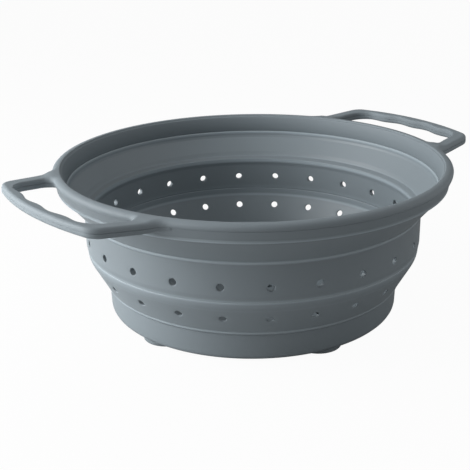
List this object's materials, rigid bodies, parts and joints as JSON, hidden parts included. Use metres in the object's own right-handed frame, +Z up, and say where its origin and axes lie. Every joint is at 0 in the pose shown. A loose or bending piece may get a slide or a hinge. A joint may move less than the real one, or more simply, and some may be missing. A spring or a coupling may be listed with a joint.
{
  "type": "collapsible colander",
  "caption": "Round folding colander: a soft stepped bowl with drain holes hangs in a hard rim with two loop handles, stands on low feet and folds flat.",
  "frame": {"origin": "centre of the bowl on the plane that the feet stand on", "axes": "+Z up out of the open bowl, +X and -X to the two handles"},
  "size_m": [0.3084, 0.25, 0.0975],
  "materials": {
    "rim": "satin",
    "bowl": "satin silicone",
    "floor": "satin",
    "feet": "matte"
  },
  "bodies": {
    "base": {"cup_wall": "bowl", "cup_flange": "bowl", "drain_floor": "floor", "foot_front": "feet", "foot_right": "feet", "foot_back_right": "feet", "foot_back_left": "feet", "foot_left": "feet"},
    "wall": {"side_wall": "bowl", "lower_fold": "bowl"},
    "rim": {"rim_upper_shell": "rim", "rim_lower_shell": "rim", "bowl_bead": "bowl", "upper_fold": "bowl"}
  },
  "joints": [
    {"name": "lower_fold_slide", "type": "slide", "parent": "base", "child": "wall", "axis": [0, 0, -1], "range_m": [0, 0.041], "deforming": ["lower_fold"]},
    {"name": "upper_fold_slide", "type": "slide", "parent": "wall", "child": "rim", "axis": [0, 0, -1], "range_m": [0, 0.027], "deforming": ["upper_fold"]}
  ]
}
